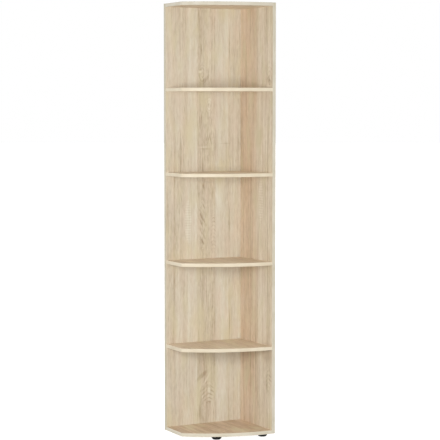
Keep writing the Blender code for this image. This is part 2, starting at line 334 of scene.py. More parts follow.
# Lighter and darker marks: place across and along, half width and half length in metres, how far a mark
# leans to the right on its way down, how much lighter
BACK_MARKS = (
    (0.078, 1.320, 0.007, 0.120, 0.00, -0.20),
    (0.338, 1.832, 0.003, 0.120, 0.00, -0.38),
    (0.264, 1.370, 0.008, 0.090, 0.00, -0.22),
    (0.338, 0.988, 0.005, 0.090, 0.00, -0.20),
    (0.339, 0.497, 0.003, 0.080, 0.00, -0.46),
    (0.231, 1.567, 0.010, 0.020, 0.00, 0.24),
    (0.228, 1.527, 0.009, 0.018, 0.00, 0.20),
    (0.283, 1.122, 0.026, 0.060, 0.00, 0.16),
    (0.198, 1.350, 0.036, 0.003, 0.00, 0.16),
    (0.208, 1.341, 0.032, 0.003, 0.00, -0.14),
    (0.312, 1.366, 0.034, 0.003, 0.00, -0.14),
    (0.177, 1.943, 0.004, 0.050, 0.00, -0.20),
    (0.187, 1.813, 0.005, 0.038, 0.13, -0.18),
    (0.244, 1.798, 0.005, 0.030, 0.00, 0.14),
    (0.181, 1.702, 0.012, 0.006, 0.00, 0.24),
    (0.186, 1.713, 0.010, 0.005, 0.00, -0.20),
    (0.206, 1.665, 0.016, 0.026, -0.95, -0.20),
    (0.226, 1.683, 0.006, 0.045, 0.00, -0.12),
    (0.197, 1.165, 0.007, 0.026, 0.45, -0.12),
    (0.246, 1.124, 0.005, 0.062, 0.00, -0.16),
    (0.184, 1.034, 0.018, 0.050, 0.15, -0.08),
    (0.185, 1.042, 0.008, 0.024, 0.65, -0.14),
    (0.193, 1.017, 0.008, 0.028, 0.63, -0.14),
    (0.192, 0.994, 0.007, 0.022, 0.80, -0.12),
    (0.203, 1.044, 0.007, 0.022, 0.61, -0.08),
    (0.194, 0.956, 0.007, 0.018, 0.54, -0.12),
    (0.188, 0.905, 0.008, 0.020, 0.53, -0.06),
    (0.190, 0.262, 0.018, 0.030, -1.00, -0.25),
    (0.212, 0.238, 0.007, 0.050, -0.60, 0.24),
    (0.179, 0.200, 0.006, 0.024, -0.36, 0.16),
    (0.188, 0.200, 0.007, 0.022, -0.55, -0.18),
    (0.236, 0.198, 0.007, 0.022, 0.80, -0.16),
    (0.230, 0.191, 0.012, 0.014, 0.00, 0.32),
    (0.180, 0.092, 0.009, 0.064, 0.00, -0.20),
    (0.265, 0.092, 0.006, 0.064, 0.00, -0.18),
    (0.226, 0.096, 0.020, 0.050, 0.00, -0.12),
    (0.254, 0.291, 0.005, 0.065, 0.00, -0.16),
)
SIDE_MARKS_AND_PAINTED_SHADOW = (
    (0.036, 1.665, 0.016, 0.030, -0.40, -0.22),
    (0.050, 0.244, 0.009, 0.030, -0.20, -0.22),
    # Painted shadow: this last mark darkens the side panel near its front just under shelf 4, where that
    # shelf's shade falls.
    (0.045, 0.392, 0.066, 0.066, 0.00, -0.17),
)
# Patches with saw marks: place across and along, half width and half length in metres, how much lighter
BACK_SAWN = (0.117, 1.000, 0.019, 0.105, 0.10)
SIDE_SAWN = (0.110, 1.100, 0.024, 0.110, 0.06)
LEVEL_SAWN = (0.200, 0.000, 0.060, 0.080, 0.04)
SAW_PITCH = 0.012

# Patterns of the print: spots a metre across, along and through the grain, and how finely they break up
WANDER = (5.0, 1.2, 5.0, 1.0)
BANDS = (30.0, 1.6, 3.0, 1.0)
STREAKS = (100.0, 3.0, 12.0, 2.0)
SHORT_FIBRES = (210.0, 34.0, 30.0, 2.0)
FINE_FIBRES = (560.0, 20.0, 50.0, 2.0)
PORES = (900.0, 34.0, 90.0, 1.0)
DOTS = (150.0, 50.0, 40.0, 2.0)
PATCHES = (12.0, 5.0, 3.0, 3.0)
LINE_BENDS = (9.0, 1.6, 3.0, 2.0)
LINE_RIPPLES = (40.0, 16.0, 6.0, 2.0)
LINE_BREAKS = (45.0, 14.0, 9.0, 2.0)
ROSY_CLOUDS = (24.0, 6.0, 4.0, 2.0)
TINTS = (20.0, 6.0, 5.0, 2.0)

# How far the fibres wander sideways, in metres
WANDER_REACH = 0.010
# Growth lines a metre in the plain staves
PLAIN_LINES = 78.0
# How far the level boards' staves shift with each metre of height, as a share of all the staves' width
STAVE_SHIFT = 1.7
# The bottom board's darker and redder print: the heights above its underside where it ends and is full
LOWEST_FADE = (0.10, 0.05)
LOWEST_STRENGTH = 0.38
# How light the print is before its patterns are added
MIDDLE_TONE = 0.31


def stave_stops(staves, part):
    """Ramp stops that give each stave its own grey value from one part of its description."""
    whole = sum(stave[0] for stave in staves)
    start = 0.0
    stops = []
    for stave in staves:
        value = 0.5 + stave[part] / 2
        stops.append((start / whole, (value, value, value, 1.0)))
        start += stave[0]
    return stops


def offset_from(paper, grain, centre, level):
    """How far a place lies across and along from the middle of a figure or a mark."""
    return paper.vector("SUBTRACT", grain, (centre, 0.0, level))


def oval(paper, offset, half_width, half_length, lean=0.0):
    """How far out an offset reaches in an oval that ends at 1 and may lean."""
    sideways = paper.vector("DOT_PRODUCT", offset, (1 / half_width, 0.0, lean / half_width))
    upwards = paper.vector("DOT_PRODUCT", offset, (0.0, 0.0, 1 / half_length))
    scaled = paper.add("CombineXYZ", {0: sideways, 2: upwards}).outputs[0]
    return paper.vector("LENGTH", scaled)


def growth_lines(paper, grain, start, figured, figures):
    """Dark growth lines, and a share that says how clearly each place shows them.

    They are nearly straight in the plain staves and bent to arches, rays or rings in the figures.
    """
    field = paper.total((start, PLAIN_LINES), (paper.cloud(grain, *LINE_BENDS), 4.5))
    shown = paper.math("MULTIPLY", figured, 0.55)
    for centre, level, half_width, half_length, lying, falling, leaning, rings in figures:
        offset = offset_from(paper, grain, centre, level)
        far = oval(paper, offset, half_width, half_length)
        inside = paper.spread(far, 0.65, 1.15, 1.0, 0.0, smooth=True)
        slope = paper.vector("DOT_PRODUCT", offset, (leaning, 0.0, lying))
        fall = paper.vector("MULTIPLY_ADD", offset, (falling, 0.0, 0.0), (0.0, 0.6, 0.0))
        arches = paper.total((slope, 1.0), (paper.vector("LENGTH", fall), 1.0), (far, rings))
        field = paper.add("Mix", {0: inside, 2: field, 3: arches}).outputs[0]
        shown = paper.math("MAXIMUM", shown, inside)
    field = paper.total((paper.cloud(grain, *LINE_RIPPLES), 0.6), (field, 1.0))
    wave = paper.math("SINE", paper.math("MULTIPLY", field, 2 * math.pi))
    sharp = paper.math("POWER", paper.spread(wave, -1.0, 1.0), 2.5)
    whole = paper.spread(paper.cloud(grain, *LINE_BREAKS), -0.14, 0.14)
    strength = paper.total((shown, 0.26), (whole, 0.06))
    strength = paper.math("MULTIPLY", strength, paper.spread(whole, 0.0, 1.0, 0.25, 1.0))
    return paper.math("MULTIPLY", sharp, strength), shown


def saw_marks(paper, grain, height, patch, sawn):
    """Fine light and dark marks that a saw left across the grain, in one patch."""
    centre, level, half_width, half_length, lighter = sawn
    bent = paper.total((height, 1.0), (patch, 0.01))
    wave = paper.math("SINE", paper.math("MULTIPLY", bent, 2 * math.pi / SAW_PITCH))
    far = oval(paper, offset_from(paper, grain, centre, level), half_width, half_length)
    inside = paper.spread(far, 0.75, 1.05, 1.0, 0.0, smooth=True)
    return paper.math("MULTIPLY", paper.total((wave, 0.07), (1.0, lighter)), inside)


def oak_decor(name, across, along, origin, staves, tones, contrast, sawn, figures=(), marks=()):
    """Printed oak with upright or level grain: staves, fibre streaks, heart figures, pores, saw marks, and
    lighter and darker marks, one of which is a painted shadow on the side panel.
    """
    paper = Finish(name)
    axes = paper.add("SeparateXYZ", {0: paper.place}).outputs
    deep = ({"X", "Y", "Z"} - {across, along}).pop()
    start = paper.math("SUBTRACT", axes[across], origin)
    grain = paper.add("CombineXYZ", {0: start, 1: axes[deep], 2: axes[along]}).outputs[0]
    wander = paper.math("MULTIPLY", paper.cloud(grain, *WANDER), WANDER_REACH)
    fibre = paper.vector("ADD", grain, paper.add("CombineXYZ", {0: wander}).outputs[0])

    # The staves, which shift from one level board to the next, and the bottom board's own darker print
    width = sum(stave[0] for stave in staves) / 1000
    share = paper.math("DIVIDE", start, width)
    lowest = 0.0
    if along != "Z":
        share = paper.math("FRACT", paper.total((axes[deep], STAVE_SHIFT), (share, 1.0)))
        high, low = (BASE_Z + height for height in LOWEST_FADE)
        lowest = paper.spread(axes[deep], high, low, 0.0, LOWEST_STRENGTH)
    tone = paper.ramp(share, stave_stops(staves, 1), "CONSTANT")
    rosy = paper.ramp(share, stave_stops(staves, 2), "CONSTANT")
    figured = paper.spread(paper.ramp(share, stave_stops(staves, 3), "CONSTANT"), 0.5, 1.0)

    # The grain
    band = paper.cloud(fibre, *BANDS)
    streak = paper.cloud(fibre, *STREAKS)
    short = paper.cloud(fibre, *SHORT_FIBRES)
    fine = paper.cloud(fibre, *FINE_FIBRES)
    patch = paper.cloud(grain, *PATCHES)
    lines, shown = growth_lines(paper, grain, start, figured, figures)
    dots = paper.math("MULTIPLY", paper.cloud(grain, *DOTS), shown)
    pores = paper.spread(paper.cloud(fibre, *PORES), 0.13, 0.24)
    saw = saw_marks(paper, grain, axes[along], patch, sawn)

    # How light the print is
    keen = (1 + contrast) / 2
    value = paper.total(
        (tone, 0.5), (lowest, -0.4), (band, 0.36 * contrast), (streak, 0.42 * contrast), (short, 0.42 * keen),
        (fine, 0.36 * keen), (patch, 0.22), (lines, -1.0), (dots, 0.42), (pores, -0.20), (saw, 1.0),
    )
    # Lighter and darker marks; the side panel's last mark is a painted shadow under shelf 4.
    for centre, level, half_width, half_length, lean, lighter in marks:
        far = oval(paper, offset_from(paper, grain, centre, level), half_width, half_length, lean)
        value = paper.total((paper.spread(far, 0.3, 1.2, 1.0, 0.0, smooth=True), lighter), (value, 1.0))
    value = paper.math("ADD", value, MIDDLE_TONE)

    # Its colour: greener or redder by staves and clouds, with straw and blush tints
    colour = paper.ramp(value, tuple(zip(OAK_STOPS, tones)))
    tan = paper.ramp(value, tuple(zip(OAK_STOPS, TAN_OAK)))
    colour = paper.blend(paper.spread(rosy, 0.5, 0.0), colour, GREENISH, "MULTIPLY")
    warm = paper.total(
        (paper.spread(rosy, 0.5, 1.0), 0.9), (paper.cloud(grain, *ROSY_CLOUDS), 1.2), (lowest, 1.4)
    )
    colour = paper.blend(paper.spread(warm, 0.0, 1.0), colour, tan)
    tint = paper.cloud(grain, *TINTS)
    colour = paper.blend(paper.spread(tint, 0.0, 0.22, 0.0, 0.65), colour, STRAW)
    colour = paper.blend(paper.spread(tint, 0.0, -0.22, 0.0, 0.34), colour, BLUSH)
    paper.surface(Base_Color=colour)
    paper.surface(Roughness=paper.spread(streak, -0.4, 0.4, 0.50, 0.42))
    paper.relief(paper.total((pores, -1.0), (fine, 0.8)), 0.35, 0.0002)
    return paper.material


def band_finish(name, along, light, dark):
    """Pale oak edging with fine streaks along the band."""
    strip = Finish(name)
    scale = tuple(9.0 if axis in along else 650.0 for axis in "XYZ")
    streak = strip.noise(strip.stretched(strip.place, scale), 1.0, 3.0)
    patch = strip.noise(strip.place, 18.0, 2.0)
    value = strip.total((streak, 0.7), (patch, 0.5))
    strip.surface(Base_Color=strip.blend(strip.spread(value, 0.42, 0.78), dark, light))
    strip.surface(Roughness=strip.spread(streak, 0.3, 0.7, 0.60, 0.50), Specular_IOR_Level=0.3)
    strip.relief(streak, 0.15, 0.0001)
    return strip.material


def chipboard_finish():
    """Raw chipboard: pressed chips of several browns with dark gaps."""
    board = Finish("raw_chipboard")
    chips = board.add("TexVoronoi", {"Vector": board.place, "Scale": 900.0}, feature="F1").outputs["Color"]
    chips = board.add("SeparateColor", {0: chips}).outputs[0]
    coarse = board.noise(board.place, 420.0, 4.0)
    value = board.total((chips, 0.6), (coarse, 0.5))
    colour = board.ramp(value, (
        (0.15, srgb(98, 72, 46)),
        (0.45, srgb(158, 124, 86)),
        (0.70, srgb(190, 158, 116)),
        (0.95, srgb(214, 188, 148)),
    ))
    board.surface(Base_Color=colour, Roughness=0.9)
    board.relief(value, 0.6, 0.0004)
    return board.material


def plastic_finish():
    """Black moulded plastic with a fine spark-eroded grain."""
    plastic = Finish("black_moulded_plastic")
    grain = plastic.noise(plastic.place, 2400.0, 2.0)
    wear = plastic.noise(plastic.place, 120.0, 3.0)
    plastic.surface(Base_Color=plastic.blend(wear, srgb(10, 10, 11), srgb(18, 18, 19)))
    plastic.surface(Roughness=plastic.spread(wear, 0.3, 0.7, 0.42, 0.55), Specular_IOR_Level=0.15)
    plastic.relief(grain, 0.35, 0.00008)
    return plastic.material


def zinc_finish():
    """Bright zinc plating with a faint yellow and blue cast and fine tool marks."""
    plating = Finish("zinc_plating")
    cast = plating.noise(plating.place, 260.0, 3.0)
    marks = plating.noise(plating.place, 3200.0, 2.0)
    plating.surface(Base_Color=plating.blend(cast, srgb(188, 190, 198), srgb(205, 200, 182)), Metallic=1.0)
    plating.surface(Roughness=plating.spread(cast, 0.3, 0.7, 0.24, 0.40))
    plating.relief(marks, 0.2, 0.00004)
    return plating.material


BACK_DECOR = oak_decor(
    "oak_decor_back", "X", "Z", LEFT_X, BACK_STAVES, PANEL_OAK, 1.0, BACK_SAWN, BACK_FIGURES, BACK_MARKS
)
# The side panel's decor also carries a painted shadow under shelf 4.
SIDE_DECOR_WITH_PAINTED_SHADOW = oak_decor(
    "oak_decor_side_with_painted_shadow", "Y", "Z", FRONT_Y, SIDE_STAVES, SIDE_OAK, 1.5, SIDE_SAWN, SIDE_FIGURES, SIDE_MARKS_AND_PAINTED_SHADOW
)
LEVEL_DECOR = oak_decor("oak_decor_level", "X", "Y", LEFT_X, LEVEL_STAVES, LEVEL_OAK, 1.0, LEVEL_SAWN)
SHELF_EDGING = band_finish("pale_band_shelf", "XY", srgb(224, 213, 190), srgb(208, 194, 168))
FRAME_EDGING = band_finish("pale_band_level", "XY", srgb(211, 205, 190), srgb(194, 185, 164))
BASE_EDGING = band_finish("pale_band_base", "XY", srgb(217, 210, 193), srgb(200, 190, 167))
FRONT_EDGING = band_finish("pale_band_front", "Z", srgb(210, 203, 186), srgb(192, 184, 162))
LEFT_EDGING = band_finish("pale_band_left", "Z", srgb(202, 195, 177), srgb(185, 177, 154))
CHIPBOARD = chipboard_finish()
PLASTIC = plastic_finish()
ZINC = zinc_finish()


def only(piece):
    """Makes the piece the one that is selected and active."""
    bpy.ops.object.select_all(action="DESELECT")
    piece.select_set(True)
    bpy.context.view_layer.objects.active = piece


def at(part, **places):
    """Whether all corners of an edge or face lie at the given x, y or z."""
    return all(
        abs(getattr(corner.co, axis) - value) < TOUCH
        for corner in part.verts
        for axis, value in places.items()
    )


def on_ring(part, radius):
    """Whether all corners of an edge or face lie about so far from the upright axis."""
    return all(abs(corner.co.xy.length / radius - 1) < RING_SPARE for corner in part.verts)


def looks_along(face, axis):
    """Whether a face looks up or down one axis."""
    return abs(getattr(face.normal, axis)) > 0.5


def pick(piece, kind, test):
    """Goes into edit mode and selects the verts, edges or faces that pass a test."""
    if bpy.context.mode != "EDIT_MESH":
        only(piece)
        bpy.ops.object.mode_set(mode="EDIT")
    bpy.ops.mesh.select_mode(type={"verts": "VERT", "edges": "EDGE", "faces": "FACE"}[kind])
    bpy.ops.mesh.select_all(action="DESELECT")
    shape = bmesh.from_edit_mesh(piece.data)
    shape.normal_update()
    for part in getattr(shape, kind):
        if test(part):
            part.select_set(True)
    shape.select_flush_mode()
    bmesh.update_edit_mesh(piece.data)


def leave_edit():
    bpy.ops.object.mode_set(mode="OBJECT")


def push(x=0.0, y=0.0, z=0.0):
    """Extrudes what is selected."""
    bpy.ops.mesh.extrude_region_move(TRANSFORM_OT_translate={"value": (x, y, z)})


def flare(share):
    """Makes what is selected wider or narrower about the upright axis."""
    bpy.ops.transform.resize(value=(share, share, 1), center_override=(0, 0, 0))


def spin(angle, centre, steps):
    """Spins what is selected about an upright axis, anticlockwise seen from above."""
    bpy.ops.mesh.spin(steps=steps, angle=-angle, center=centre, axis=(0, 0, 1))


def outwards():
    """Merges doubles and turns all faces outwards, in edit mode."""
    bpy.ops.mesh.select_all(action="SELECT")
    bpy.ops.mesh.remove_doubles(threshold=TOUCH)
    bpy.ops.mesh.normals_make_consistent(inside=False)


def settled():
    """The object just made, with its place, turn and size taken up by its mesh."""
    bpy.ops.object.transform_apply(location=True, rotation=True, scale=True)
    return bpy.context.object


def block(low, high):
    """A rectangular blank between two corners."""
    low, high = Vector(low), Vector(high)
    bpy.ops.object.select_all(action="DESELECT")
    bpy.ops.mesh.primitive_cube_add(size=1, location=(low + high) / 2, scale=high - low)
    return settled()


def rod(radius, low_z, high_z, sides, x=0.0, y=0.0):
    """An upright round blank."""
    bpy.ops.object.select_all(action="DESELECT")
    bpy.ops.mesh.primitive_cylinder_add(
        vertices=sides, radius=radius, depth=high_z - low_z, location=(x, y, (low_z + high_z) / 2)
    )
    return settled()


def round_over(piece, test, radius, steps=ROUNDING_STEPS):
    """Rounds the edges that pass a test."""
    pick(piece, "edges", test)
    bpy.ops.mesh.bevel(offset=radius, segments=steps, profile=0.5, affect="EDGES")
    leave_edit()


def combine(piece, tool, operation):
    """Cuts the tool out of the piece, or joins it to the piece. The cut faces take the tool's finish."""
    only(piece)
    bpy.ops.object.modifier_add(type="BOOLEAN")
    step = piece.modifiers[-1]
    step.operation = operation
    step.solver = "EXACT"
    step.material_mode = "TRANSFER"
    step.object = tool
    bpy.ops.object.modifier_apply(modifier=step.name)


def smooth(piece, angle=SHADE_ANGLE):
    """Smooth shading over round parts, with flat faces kept flat."""
    only(piece)
    bpy.ops.object.shade_smooth_by_angle(angle=math.radians(angle))
    bpy.ops.object.modifier_add(type="WEIGHTED_NORMAL")
    step = piece.modifiers[-1]
    step.keep_sharp = True
    bpy.ops.object.modifier_apply(modifier=step.name)


def copy_of(piece, place=(0, 0, 0), turn=(0, 0, 0)):
    """A copy with its own mesh, turned and then moved to its place."""
    only(piece)
    bpy.ops.object.duplicate()
    made = bpy.context.object
    made.rotation_euler = turn
    made.location = place
    return settled()


def joined(pieces):
    """Several objects as one."""
    only(pieces[0])
    for piece in pieces:
        piece.select_set(True)
    bpy.ops.object.join()
    return bpy.context.object


def scrap(*pieces):
    """Throws away tools and blanks."""
    for piece in pieces:
        bpy.data.objects.remove(piece, do_unlink=True)


def fit(piece, node, word):
    """Names the finished piece and sets it in for its CAD node."""
    piece.name = f"{word}_{node}"
    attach(piece, "root")
    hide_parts(node)


def coat(piece, finish):
    """Gives the whole piece one finish."""
    piece.data.materials.clear()
    piece.data.materials.append(finish)


def face_with(piece, finish, test):
    """Gives the faces that pass a test a finish of their own."""
    piece.data.materials.append(finish)
    pick(piece, "faces", test)
    piece.active_material_index = len(piece.data.materials) - 1
    bpy.ops.object.material_slot_assign()
    leave_edit()


def thread(start_z, end_z, core, depth, pitch):
    """A threaded rod: a ring with one raised lobe, turned a little at each short extrusion."""
    bpy.ops.object.select_all(action="DESELECT")
    bpy.ops.mesh.primitive_circle_add(
        vertices=THREAD_SIDES, radius=core, fill_type="NGON", location=(0, 0, start_z)
    )
    piece = settled()
    lobe = max(piece.data.vertices, key=lambda corner: corner.co.x)
    pick(piece, "verts", lambda corner: corner.index == lobe.index)
    bpy.ops.transform.translate(value=Vector(lobe.co).xy.normalized().to_3d() * depth)
    bpy.ops.mesh.select_all(action="SELECT")
    rise = pitch / THREAD_STEPS
    for step in range(round((end_z - start_z) / rise)):
        push(z=rise)
        bpy.ops.transform.rotate(
            value=2 * math.pi / THREAD_STEPS, orient_axis="Z", center_override=(0, 0, 0)
        )
    outwards()
    leave_edit()
    return piece


def pointed(piece, tip_z, tip_width):
    """Grinds the end of a screw down to a blunt tip, which keeps a share of the screw's width."""
    for step in range(TIP_STEPS):
        limit = tip_z + TIP_LENGTH * step / TIP_STEPS
        pick(piece, "verts", lambda corner: corner.co.z < limit + TOUCH)
        flare(tip_width + (1 - tip_width) * step / TIP_STEPS)
        leave_edit()


def board_screw():
    """A board screw with a countersunk head, hexagon socket, plain neck and rolled thread."""
    cone_z = -HEAD_RIM - (HEAD_RADIUS - SHANK_RADIUS)
    neck_end = cone_z - NECK_LENGTH
    shank = thread(-SCREW_LENGTH, neck_end + THREAD_PITCH / 2, THREAD_CORE, THREAD_DEPTH, THREAD_PITCH)
    pointed(shank, -SCREW_LENGTH, SCREW_TIP_WIDTH)
    head = rod(SHANK_RADIUS, neck_end, cone_z, ROUND_SIDES)
    pick(head, "faces", lambda face: at(face, z=cone_z))
    push(z=HEAD_RADIUS - SHANK_RADIUS)
    flare(HEAD_RADIUS / SHANK_RADIUS)
    push(z=HEAD_RIM)
    leave_edit()
    round_over(head, lambda edge: at(edge, z=0.0), HEAD_ROUNDING, FINE_ROUNDING_STEPS)
    round_over(head, lambda edge: at(edge, z=neck_end), NECK_ROUNDING, FINE_ROUNDING_STEPS)
    combine(head, shank, "UNION")
    socket = rod(SOCKET_RADIUS, -SOCKET_DEPTH, SOCKET_DEPTH, SOCKET_SIDES)
    combine(head, socket, "DIFFERENCE")
    scrap(shank, socket)
    coat(head, ZINC)
    smooth(head, SCREW_SHADE_ANGLE)
    return head


def countersunk_bore():
    """The tool that drills the hole for a board screw."""
    cone_z = -HEAD_RIM - (HEAD_RADIUS - BORE_RADIUS)
    bore = rod(BORE_RADIUS, -SCREW_LENGTH - BORE_SPARE, cone_z, ROUND_SIDES)
    pick(bore, "faces", lambda face: at(face, z=cone_z))
    push(z=HEAD_RADIUS - BORE_RADIUS + JOINT)
    flare((HEAD_RADIUS + JOINT) / BORE_RADIUS)
    push(z=HEAD_RIM + HEAD_RADIUS)
    leave_edit()
    coat(bore, CHIPBOARD)
    return bore


def head_place(node, axis):
    """Where a screw's head face is centred, from its CAD node."""
    low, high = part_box(node)
    place = (low + high) / 2
    place[axis] = high[axis]
    return place


def screw_nodes():
    """Every board screw with the way it turns and its head's place."""
    rows = {}
    for board in LEVELS:
        for row in ("front", "rear"):
            rows[f"side_screw_{board}_{row}"] = (TO_SIDE, 0)
        for row in ("left", "right"):
            rows[f"back_screw_{board}_{row}"] = (TO_REAR, 1)
    for count in range(1, CORNER_SCREWS + 1):
        rows[f"corner_screw_{count}"] = (TO_SIDE, 0)
    return {node: (turn, head_place(node, axis)) for node, (turn, axis) in rows.items()}


def drilled(piece, bore, places):
    """Drills the bores of some screws into a piece, in one go."""
    tool = joined([copy_of(bore, place, turn) for turn, place in places])
    combine(piece, tool, "DIFFERENCE")
    scrap(tool)


def soften(piece):
    """Breaks every sharp edge of a board a little, as the laminate is trimmed."""
    pick(piece, "edges", lambda edge: True)
    bpy.ops.mesh.bevel(offset=ARRIS, segments=1, affect="EDGES")
    leave_edit()


def make_panels(bore, screws):
    """The back and the side panel: decor on both faces, raw chipboard on the hidden edges."""
    top = TOP_Z - TOP_BAND - JOINT
    back = block((LEFT_X + BAND_INSET, BACK_Y, BASE_Z), (INNER_X - JOINT, REAR_Y, top))
    side = block((INNER_X, FRONT_Y + BAND_INSET, BASE_Z), (OUTER_X, REAR_Y, top))
    panels = {
        "back_panel": (back, BACK_DECOR, "y", ("back_screw", "corner_screw")),
        "side_panel": (side, SIDE_DECOR_WITH_PAINTED_SHADOW, "x", ("side_screw", "corner_screw")),
    }
    for node, (panel, decor, through, kinds) in panels.items():
        soften(panel)
        coat(panel, CHIPBOARD)
        face_with(panel, decor, lambda face: looks_along(face, through))
        drilled(panel, bore, [place for name, place in screws.items() if name.startswith(kinds)])
        fit(panel, node, "oak")


def make_strips():
    """The straight edge bands of the two panels, rounded over on their outer edges."""
    top = TOP_Z - TOP_BAND
    left = block((LEFT_X, BACK_Y, BASE_Z), (LEFT_X + FRONT_BAND, REAR_Y, TOP_Z))
    round_over(left, lambda edge: at(edge, x=LEFT_X) and not at(edge, z=BASE_Z), BAND_ROUNDING)
    front = block((INNER_X, FRONT_Y, BASE_Z), (OUTER_X, FRONT_Y + FRONT_BAND, TOP_Z))
    round_over(front, lambda edge: at(edge, y=FRONT_Y) and not at(edge, z=BASE_Z), BAND_ROUNDING)
    back_top = block((LEFT_X + BAND_INSET, BACK_Y, top), (INNER_X - JOINT, REAR_Y, TOP_Z))
    side_top = block((INNER_X, FRONT_Y + BAND_INSET, top), (OUTER_X, REAR_Y, TOP_Z))
    round_over(back_top, lambda edge: at(edge, z=TOP_Z, y=REAR_Y), TOP_BAND_ROUNDING)
    round_over(side_top, lambda edge: at(edge, z=TOP_Z, x=OUTER_X), TOP_BAND_ROUNDING)
    strips = {
        "back_panel_left_band": (left, LEFT_EDGING),
        "side_panel_front_band": (front, FRONT_EDGING),
        "back_panel_top_band": (back_top, FRAME_EDGING),
        "side_panel_top_band": (side_top, FRAME_EDGING),
    }
    for node, (strip, edging) in strips.items():
        coat(strip, edging)
        smooth(strip)
        fit(strip, node, "pale")


def sweep_front():
    """Sweeps what is selected round the left corner and along the front arc."""
    spin(CORNER_TURN, CORNER_CENTRE, CORNER_STEPS)
    spin(ARC_TURN - JOINT / ARC_RADIUS, ARC_CENTRE, ARC_STEPS)


def level_board():
    """The blank of every level board, at the bottom board's place.

    Its left side, corner and front arc are swept from one short wall.
    """
    straight = BACK_Y - JOINT - CORNER_CENTRE.y
    middle = (LEFT_X + BAND_INSET, CORNER_CENTRE.y + straight / 2, BASE_Z + BOARD / 2)
    bpy.ops.object.select_all(action="DESELECT")
    bpy.ops.mesh.primitive_plane_add(size=1, location=middle, rotation=(0, math.pi / 2, 0))
    board = bpy.context.object
    board.scale = (BOARD, straight, 1)
    bpy.ops.object.transform_apply(location=True, rotation=True, scale=True)
    pick(board, "edges", lambda edge: at(edge, y=CORNER_CENTRE.y))
    sweep_front()
    push(y=BACK_Y - JOINT - FRONT_Y - BAND_INSET)
    push(x=LEFT_X + BAND_INSET - INNER_X + JOINT)
    outwards()
    for level in (BASE_Z, BASE_Z + BOARD):
        pick(board, "edges", lambda edge: at(edge, z=level))
        bpy.ops.mesh.edge_face_add()
    outwards()
    leave_edit()
    return board


def level_band():
    """The band round a level board's open edge, swept from its short straight end."""
    low = (LEFT_X, CORNER_CENTRE.y, BASE_Z)
    band = block(low, (LEFT_X + FRONT_BAND, BACK_Y - JOINT, BASE_Z + BOARD))
    round_over(
        band,
        lambda edge: at(edge, x=LEFT_X, z=BASE_Z) or at(edge, x=LEFT_X, z=BASE_Z + BOARD),
        BAND_ROUNDING,
    )
    pick(band, "faces", lambda face: at(face, y=CORNER_CENTRE.y))
    sweep_front()
    outwards()
    leave_edit()
    smooth(band)
    return band


def foot_holes(foot_places):
    """The tool that drills the holes for the feet's screws."""
    low_z, high_z = BASE_Z - BOARD, BASE_Z + FOOT_HOLE_DEPTH
    holes = joined([rod(FOOT_HOLE, low_z, high_z, ROUND_SIDES, x, y) for x, y in foot_places])
    coat(holes, CHIPBOARD)
    return holes


def make_levels(bore, screws, foot_places):
    """The bottom board, four shelves and top board, with their bands."""
    blank = level_board()
    round_over(blank, lambda edge: at(edge, z=BASE_Z) or at(edge, z=BASE_Z + BOARD), ARRIS, 1)
    coat(blank, CHIPBOARD)
    face_with(blank, LEVEL_DECOR, lambda face: looks_along(face, "z"))
    drilled(blank, bore, [place for name, place in screws.items() if "screw_bottom_board" in name])
    band = level_band()
    for board in LEVELS:
        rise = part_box(board)[0].z - BASE_Z
        made = copy_of(blank, (0, 0, rise))
        if board == "bottom_board":
            holes = foot_holes(foot_places)
            combine(made, holes, "DIFFERENCE")
            scrap(holes)
        fit(made, board, "oak")
        edge = copy_of(band, (0, 0, rise))
        coat(edge, {"top_board": FRAME_EDGING, "bottom_board": BASE_EDGING}.get(board, SHELF_EDGING))
        fit(edge, board + "_edge_band", "pale")
    scrap(blank, band)


def moulded_foot():
    """A hollow foot flared up to its rim, with a screw boss, a recess below and ribs inside."""
    top = BASE_Z - JOINT
    foot = rod(FOOT_FLOOR_RADIUS, 0.0, top - FOOT_RIM, FOOT_SIDES)
    pick(foot, "faces", lambda face: at(face, z=top - FOOT_RIM))
    flare(FOOT_TOP_RADIUS / FOOT_FLOOR_RADIUS)
    push(z=FOOT_RIM)

    # The hollow inside, with the screw's boss standing in its middle
    bpy.ops.mesh.inset(thickness=FOOT_WALL)
    push(z=-FOOT_RIM)
    push(z=FOOT_FLOOR + FOOT_RIM - top)
    inside = FOOT_FLOOR_RADIUS - FOOT_WALL
    flare(inside / (FOOT_TOP_RADIUS - FOOT_WALL))
    bpy.ops.mesh.inset(thickness=inside - RECESS_RADIUS - BOSS_WALL)
    push(z=top - FOOT_FLOOR)
    bpy.ops.mesh.inset(thickness=RECESS_RADIUS + BOSS_WALL - FOOT_HOLE)
    push(z=RECESS_DEPTH - top)
    bpy.ops.mesh.delete(type="ONLY_FACE")

    # The recess below, which meets the screw's hole in the boss
    pick(foot, "faces", lambda face: at(face, z=0.0))
    bpy.ops.mesh.inset(thickness=FOOT_FLOOR_RADIUS - RECESS_RADIUS)
    push(z=RECESS_DEPTH)
    bpy.ops.mesh.inset(thickness=RECESS_RADIUS - FOOT_HOLE)
    bpy.ops.mesh.delete(type="ONLY_FACE")
    outwards()

    # The ribs, raised from evenly spaced faces of the hollow's floor
    step = 2 * math.pi / FOOT_RIBS

    def under_rib(face):
        middle = face.calc_center_median()
        turned = (math.atan2(middle.y, middle.x) + math.pi) % step
        return at(face, z=FOOT_FLOOR) and turned < 2 * math.pi / FOOT_SIDES

    pick(foot, "faces", under_rib)
    bpy.ops.mesh.inset(thickness=RIB_INSET, use_individual=True)
    push(z=RIB_HEIGHT)
    leave_edit()

    # The roundings: height and radius of the edge, how round it is, and in how many steps
    roundings = (
        (0.0, FOOT_FLOOR_RADIUS, FOOT_ROUNDING, FOOT_ROUNDING_STEPS),
        (top - FOOT_RIM, FOOT_TOP_RADIUS, RIM_ROUNDING, ROUNDING_STEPS),
        (0.0, RECESS_RADIUS, RECESS_ROUNDING, FINE_ROUNDING_STEPS),
    )
    for height, ring, rounding, steps in roundings:
        round_over(foot, lambda edge: at(edge, z=height) and on_ring(edge, ring), rounding, steps)
    coat(foot, PLASTIC)
    smooth(foot)
    return foot


